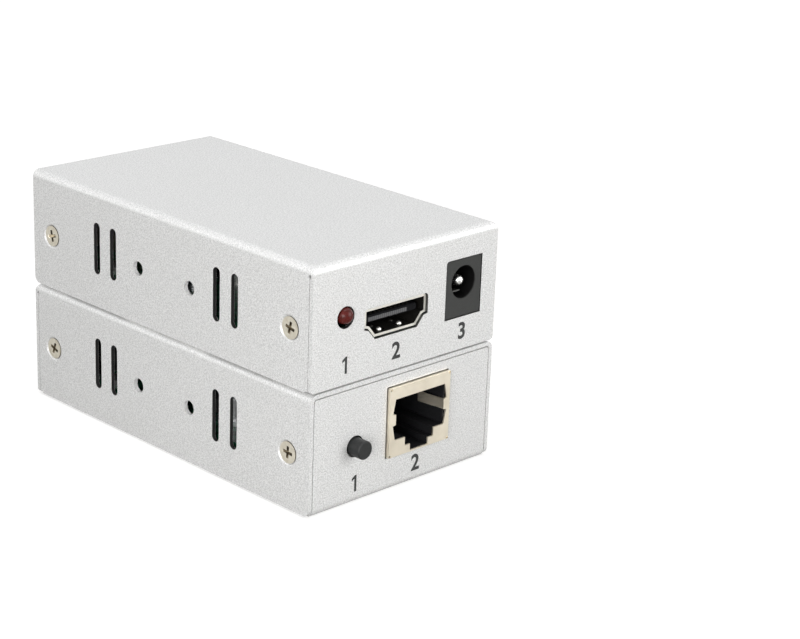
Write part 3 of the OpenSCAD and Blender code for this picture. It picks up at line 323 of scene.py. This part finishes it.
def behind_front(tree, box, depth):
    """1 where either unit's fitting lies more than depth millimetres behind its front. The box is the receiver's."""
    out = size_of(tree, parts_of(tree, place(tree))[1])
    return math_node(tree, "LESS_THAN", out, (front_of(box) - depth) * MM)


def ribbed_band(tree):
    """1 on the ribbed band on the front of either unit's tongue, which gets painted light."""
    x, y, z = parts_of(tree, place(tree))
    edge = front_of(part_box("rx_hdmi_insulator"))
    front = within(tree, size_of(tree, y), edge - BAND_FRONT, edge + BAND_FRONT)
    as_on_receiver = math_node(tree, "MULTIPLY", x, math_node(tree, "SIGN", math_node(tree, "MULTIPLY", y, -1.0)))
    low, high = BAND_BELOW_TOP
    rows = [within(tree, z, TONGUE_TOP_Z + foot - low, TONGUE_TOP_Z + foot - high) for foot in (0, RECEIVER_Z)]
    return every(tree, front, either(tree, *rows), within(tree, as_on_receiver, *BAND_X))


# Finishes

def case_paint(name, foot_z):
    """Silver paint with fine metal flakes, a little cloudy over the sheet, with painted shade on the faces inside
    and on the cut edges of slots and openings, and painted light on the bracket holes' walls.
    """
    def flakes(tree):
        fine = noise(tree, FINE_FLAKE, detail=1.0)
        coarse = noise(tree, COARSE_FLAKE, detail=1.0)
        return math_node(tree, "MULTIPLY", math_node(tree, "ADD", fine, coarse), 0.5)

    def colour(tree):
        speckle = blend(tree, spread(tree, flakes(tree), *FLAKE_RANGE), PAINT_DARK, PAINT_BRIGHT)
        cloud = spread(tree, noise(tree, CLOUD_SIZE), *NOISE_CORE, 0.0, CLOUD_MOST)
        outside = blend(tree, cloud, speckle, PAINT_CLOUD)
        faces = blend(tree, inner_faces(tree, foot_z), outside, PAINTED_INSIDE_SHADE)
        shaded, lit = cut_edges(tree)
        return blend(tree, lit, blend(tree, shaded, faces, SHADED_EDGE), LIT_HOLE)

    def rough(tree):
        return spread(tree, flakes(tree), *NOISE_CORE, *PAINT_ROUGH)

    def bump(tree):
        return flakes(tree), FLAKE_DEPTH

    return finish(name, colour, rough, bump, metallic=0.20, coat_weight=0.08, coat_roughness=0.32)


def plated(name, dark, bright, rough, cloud_size=2.0):
    """Plated or bare metal, clouded and finely drawn."""
    def bump(tree):
        return noise(tree, METAL_GRAIN, detail=1.0), METAL_DEPTH

    streaks = uneven(STREAK_SIZE, rough, STREAK_STRETCH)
    return finish(name, mottled(cloud_size, dark, bright, detail=3.0), streaks, bump, metallic=1.0)


def moulded(name, dark, bright, rough, grain_size=PLASTIC_GRAIN, **sockets):
    """Plastic or ceramic with a fine grain. Its colour wanders over two grains and its gloss over four."""
    def bump(tree):
        return noise(tree, grain_size, detail=1.0), PLASTIC_DEPTH

    return finish(name, mottled(grain_size * 2, dark, bright), uneven(grain_size * 4, rough), bump, **sockets)


def screw_nickel():
    """Warm nickel on the cover screws, with brown painted shade where the recess goes below the head's face."""
    face = mottled(0.8, dark=(0.78, 0.72, 0.59), bright=(0.92, 0.87, 0.75), detail=3.0)

    def colour(tree):
        out = size_of(tree, parts_of(tree, place(tree))[0])
        deep = math_node(tree, "LESS_THAN", out, (SIDE_X - HEAD_SINK - RECESS_START) * MM)
        return blend(tree, deep, face(tree), SCREW_RECESS_SHADE)

    return finish("screw_nickel", colour, uneven(0.3, rough=(0.36, 0.50)), metallic=0.9)


def board_mask():
    """Green solder mask with paler tracks below it."""
    def colour(tree):
        edges = node(tree, "ShaderNodeTexVoronoi", {"Vector": place(tree), "Scale": 1 / (BOARD_PATCH * MM)},
                     feature="DISTANCE_TO_EDGE").outputs[0]
        return blend(tree, math_node(tree, "LESS_THAN", edges, TRACK_SHARE), BOARD_GREEN, TRACK_GREEN)

    return finish("board_mask", colour, uneven(1.0, rough=(0.28, 0.40)))


def picture_moulding():
    """Black moulding of the picture socket, with a grey ribbed band on the front of its tongue: painted light for
    the tongue's lit top, with the ribs of its contacts.
    """
    def colour(tree):
        rib = math_node(tree, "PINGPONG", parts_of(tree, place(tree))[0], RIB_HALF_PITCH * MM)
        slope = spread(tree, rib, *(edge * MM for edge in RIB_SLOPE))
        # The band's grey is painted light, ribbed like the contacts
        ribbed = blend(tree, slope, (0.075, 0.075, 0.078), (0.135, 0.135, 0.138))
        grain = blend(tree, noise(tree, 0.4), (0.005, 0.005, 0.006), (0.010, 0.010, 0.011))
        return blend(tree, ribbed_band(tree), grain, ribbed)

    return finish("picture_moulding", colour, uneven(0.6, rough=(0.55, 0.70)), specular_ior_level=0.05)


def picture_shell():
    """Bright plated shell of the picture socket, with painted shade inside."""
    def colour(tree):
        bright = blend(tree, noise(tree, 1.0), (0.84, 0.82, 0.74), (0.92, 0.91, 0.84))
        return blend(tree, behind_front(tree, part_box("rx_hdmi_shell"), SHELL_RIM), bright, SHELL_INSIDE_SHADE)

    return finish("picture_shell", colour, uneven(0.6, rough=(0.30, 0.42)), metallic=0.75)


def jack_moulding():
    """Grey moulding of the power socket, with black painted shade down its bore."""
    def colour(tree):
        grain = blend(tree, noise(tree, 0.4), (0.034, 0.035, 0.034), (0.048, 0.049, 0.047))
        return blend(tree, behind_front(tree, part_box("rx_power_housing"), JACK_FACE), grain, JACK_BORE_SHADE)

    return finish("jack_moulding", colour, uneven(0.8, rough=(0.50, 0.62)), specular_ior_level=0.18)


def light_lens():
    """Dark red lens, a little uneven inside."""
    def colour(tree):
        cloud = spread(tree, noise(tree, 0.7), *NOISE_CORE)
        return blend(tree, cloud, (0.060, 0.008, 0.006), (0.095, 0.012, 0.010))

    return finish("light_lens", colour, uneven(0.5, rough=(0.22, 0.34)), specular_ior_level=0.18)


def print_ink():
    """Dark grey screen print."""
    colour = mottled(0.3, dark=(0.014, 0.014, 0.014), bright=(0.026, 0.026, 0.025))
    return finish("print_ink", colour, uneven(0.4, rough=(0.45, 0.6)))


INK = print_ink()
DIMPLE_METAL = plated("dimple_nickel", dark=(0.86, 0.85, 0.80), bright=(0.94, 0.93, 0.88), rough=(0.42, 0.55))
SLOT_FINISHES = {
    "screw_nickel": screw_nickel(),
    "board_tin": plated("board_tin", dark=(0.58, 0.58, 0.56), bright=(0.74, 0.74, 0.72), rough=(0.25, 0.40)),
    "shield_tin": plated(
        "shield_tin", dark=(0.80, 0.73, 0.60), bright=(0.94, 0.87, 0.73), rough=(0.38, 0.50), cloud_size=4.0,
    ),
    "moulded_black": moulded(
        "moulded_black", dark=(0.006, 0.006, 0.007), bright=(0.011, 0.011, 0.012), rough=(0.50, 0.65),
        specular_ior_level=0.15,
    ),
    "chip_black": moulded(
        "chip_black", dark=(0.016, 0.016, 0.017), bright=(0.030, 0.030, 0.031), rough=(0.50, 0.62), grain_size=0.1,
    ),
    "button_grey": moulded(
        "button_grey", dark=(0.010, 0.011, 0.011), bright=(0.018, 0.019, 0.019), rough=(0.44, 0.56),
        grain_size=0.2, specular_ior_level=0.35,
    ),
    "board_green": board_mask(),
    "lens_red": light_lens(),
    "can_aluminium": plated(
        "can_aluminium", dark=(0.66, 0.67, 0.68), bright=(0.80, 0.81, 0.82), rough=(0.28, 0.42),
    ),
    "ferrite_grey": moulded(
        "ferrite_grey", dark=(0.030, 0.030, 0.032), bright=(0.060, 0.060, 0.062), rough=(0.55, 0.70),
        grain_size=0.2,
    ),
    "ceramic_tan": moulded(
        "ceramic_tan", dark=(0.35, 0.25, 0.14), bright=(0.52, 0.40, 0.25), rough=(0.45, 0.60), grain_size=0.3,
    ),
}
CASE_FINISHES = {"tx": case_paint("transmitter_paint", 0), "rx": case_paint("receiver_paint", RECEIVER_Z)}
NODE_FINISHES = {
    "hdmi_insulator": picture_moulding(),
    "hdmi_shell": picture_shell(),
    "power_housing": jack_moulding(),
    "power_pin": plated("pin_bright", dark=(0.90, 0.90, 0.88), bright=(0.98, 0.98, 0.96), rough=(0.24, 0.32)),
    "power_terminals": plated(
        "terminal_dull", dark=(0.05, 0.05, 0.048), bright=(0.09, 0.09, 0.086), rough=(0.45, 0.60),
    ),
    "hdmi_contacts": plated(
        "contacts_shaded", dark=(0.02, 0.018, 0.014), bright=(0.04, 0.036, 0.028), rough=(0.40, 0.55),
    ),
    # Network contacts darkened with painted shade, deep in their socket
    "network_contacts": plated(
        "contacts_painted_shade", dark=(0.10, 0.09, 0.07), bright=(0.20, 0.18, 0.14), rough=(0.30, 0.45),
    ),
}


def dress_nodes():
    """Gives each CAD node its own finish, or the one of its material slot."""
    slots = {part["node"]: part["material_slot"] for part in frame["record"]["subparts"]}
    for name, piece in frame["nodes"].items():
        unit, kind = name.split("_", 1)
        if slots[name] == "case_silver":
            chosen = CASE_FINISHES[unit]
        else:
            chosen = NODE_FINISHES.get(kind) or SLOT_FINISHES[slots[name]]
        piece.data.materials.clear()
        piece.data.materials.append(chosen)


# Pieces that only the scene has

def add_piece(name, mesh, material, body):
    """A new piece of the object that moves with a body."""
    mesh.materials.append(material)
    piece = bpy.data.objects.new(name, mesh)
    bpy.context.scene.collection.objects.link(piece)
    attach(piece, body)
    return piece


def middle_x(name):
    """A node's middle across the case, in millimetres."""
    low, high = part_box(name)
    return (low.x + high.x) / 2 / MM


def add_dimples():
    """Two dimples in each picture socket, on its lower springs."""
    for unit, body, side, foot in UNITS:
        for count, across in enumerate((-DIMPLE_APART / 2, DIMPLE_APART / 2), 1):
            name = f"{unit}_latch_dimple_{count}"
            mesh = bpy.data.meshes.new(name)
            ball = bmesh.new()
            bmesh.ops.create_uvsphere(ball, u_segments=24, v_segments=12, radius=DIMPLE_R * MM)
            ball.to_mesh(mesh)
            ball.free()
            mesh.shade_smooth()
            where = Vector((middle_x(f"{unit}_hdmi_insulator") + across, side * DIMPLE_Y, foot + DIMPLE_Z))
            mesh.transform(Matrix.Translation(where * MM))
            piece = add_piece(name, mesh, DIMPLE_METAL, body)


def digit_curve(name, text):
    """The outline of a digit, lying in the XY plane. A 1 is drawn here, because the font's is a bare bar."""
    if text == "1":
        curve = bpy.data.curves.new(name, "CURVE")
        curve.dimensions = "2D"
        curve.fill_mode = "BOTH"
        outline = curve.splines.new("POLY")
        outline.points.add(len(ONE_OUTLINE) - 1)
        for point, (x, y) in zip(outline.points, ONE_OUTLINE):
            point.co = (x * DIGIT_H * MM, y * DIGIT_H * MM, 0, 1)
        outline.use_cyclic_u = True
    else:
        curve = bpy.data.curves.new(name, "FONT")
        curve.body = text
        curve.align_x = "CENTER"
        curve.size = DIGIT_H / DIGIT_SHARE_OF_FONT * MM
        curve.offset = DIGIT_WEIGHT * MM
    curve.extrude = DIGIT_INK / 2 * MM
    return curve


def print_digit(name, text, place_mm, turned, body):
    """A digit printed on an end face: place_mm is its middle, and turned is true on the +Y ends."""
    lettering = bpy.data.objects.new(name, digit_curve(name, text))
    bpy.context.scene.collection.objects.link(lettering)
    bpy.context.view_layer.update()
    mesh = bpy.data.meshes.new_from_object(lettering.evaluated_get(bpy.context.evaluated_depsgraph_get()))
    bpy.data.objects.remove(lettering)
    heights = [v.co.y for v in mesh.vertices]
    middle = (min(heights) + max(heights)) / 2
    stand = Matrix.Rotation(math.radians(180 if turned else 0), 4, "Z") @ Matrix.Rotation(math.radians(90), 4, "X")
    mesh.transform(Matrix.Translation(Vector(place_mm) * MM) @ stand @ Matrix.Translation((0, -middle, 0)))
    add_piece(name, mesh, INK, body)


def print_numbers():
    """Numbers below the lights, sockets and button, counted from the left on each end."""
    for unit, body, picture_side, _ in UNITS:
        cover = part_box(f"{unit}_cover")
        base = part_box(f"{unit}_base")
        z = cover[0].z / MM + DIGIT_MIDDLE_Z
        for side, panel, parts in ((picture_side, cover, PICTURE_END), (-picture_side, base, NETWORK_ENDS[unit])):
            y = panel[1 if side > 0 else 0].y / MM + side * DIGIT_INK / 2
            for count, part in enumerate(parts, 1):
                where = (middle_x(f"{unit}_{part}"), y, z)
                print_digit(f"{unit}_{part}_number", str(count), where, side > 0, body)


# Stage

def add_camera():
    """The camera where the photograph was taken from."""
    azimuth = math.radians(CAMERA_AZIMUTH_DEG)
    elevation = math.radians(CAMERA_ELEVATION_DEG)
    back = Vector((
        math.sin(azimuth) * math.cos(elevation), -math.cos(azimuth) * math.cos(elevation), math.sin(elevation),
    ))
    right = (-back).cross(Vector((0, 0, 1))).normalized()
    up = right.cross(-back)
    turn = Matrix((right, up, back)).transposed().to_4x4()
    roll = Matrix.Rotation(math.radians(CAMERA_ROLL_DEG), 4, "Z")
    data = bpy.data.cameras.new("camera")
    data.lens = CAMERA_LENS
    data.sensor_width = CAMERA_SENSOR
    data.clip_start = CAMERA_NEAREST * MM
    camera = bpy.data.objects.new("camera", data)
    camera.matrix_world = Matrix.Translation(Vector(CAMERA_EYE) * MM) @ turn @ roll
    bpy.context.scene.collection.objects.link(camera)
    bpy.context.scene.camera = camera


def add_lamp(name, place_m, size_m, watts, colour):
    """A square area lamp aimed at the middle of the cases."""
    data = bpy.data.lights.new(name, "AREA")
    data.size = size_m
    data.energy = watts
    data.color = colour
    lamp = bpy.data.objects.new(name, data)
    aim = Vector(LAMP_AIM_M) - Vector(place_m)
    lamp.matrix_world = Matrix.Translation(place_m) @ aim.to_track_quat("-Z", "Y").to_matrix().to_4x4()
    bpy.context.scene.collection.objects.link(lamp)


def seen_by(tree, *rays):
    """1 on the named kinds of rays."""
    path = node(tree, "ShaderNodeLightPath").outputs
    return either(tree, *(path[f"Is {ray} Ray"] for ray in rays))


def add_world():
    """A room that is plain white where it is seen, straight or in a shine, and gives no other light."""
    world = bpy.data.worlds.new("room")
    world.use_nodes = True
    bpy.context.scene.world = world
    tree = world.node_tree
    background = tree.nodes["Background"]
    background.inputs["Color"].default_value = (*WHITE, 1)
    tree.links.new(seen_by(tree, "Camera", "Glossy", "Transmission"), background.inputs["Strength"])


def add_floor():
    """A pale floor that keeps the shadow; its glow lifts it to white where it is seen, more so far away."""
    reach = FLOOR_REACH * MM
    corners = [(-reach, -reach, 0), (reach, -reach, 0), (reach, reach, 0), (-reach, reach, 0)]
    mesh = bpy.data.meshes.new("floor")
    mesh.from_pydata(corners, [], [(0, 1, 2, 3)])
    material = bpy.data.materials.new("floor")
    material.use_nodes = True
    tree = material.node_tree
    shader = tree.nodes["Principled BSDF"]
    shader.inputs["Base Color"].default_value = (*FLOOR_COLOUR, 1)
    shader.inputs["Roughness"].default_value = 0.9
    shader.inputs["Specular IOR Level"].default_value = 0.1
    away = node(tree, "ShaderNodeVectorMath", {0: place(tree)}, operation="LENGTH").outputs["Value"]
    glow = spread(tree, away, *FLOOR_FADE_M, FLOOR_GLOW, 1.0)
    strength = math_node(tree, "MULTIPLY", seen_by(tree, "Camera", "Transmission"), glow)
    shine = node(tree, "ShaderNodeEmission", {"Color": (*WHITE, 1), "Strength": strength})
    both = node(tree, "ShaderNodeAddShader", {0: shader.outputs[0], 1: shine.outputs[0]})
    tree.links.new(both.outputs[0], tree.nodes["Material Output"].inputs["Surface"])
    mesh.materials.append(material)
    floor = bpy.data.objects.new("floor", mesh)
    bpy.context.scene.collection.objects.link(floor)


bpy.context.scene.view_settings.view_transform = "Standard"
add_camera()
add_world()
add_floor()
for lamp_name, lamp in LAMPS.items():
    add_lamp(lamp_name, *lamp)
dress_nodes()
add_dimples()
print_numbers()
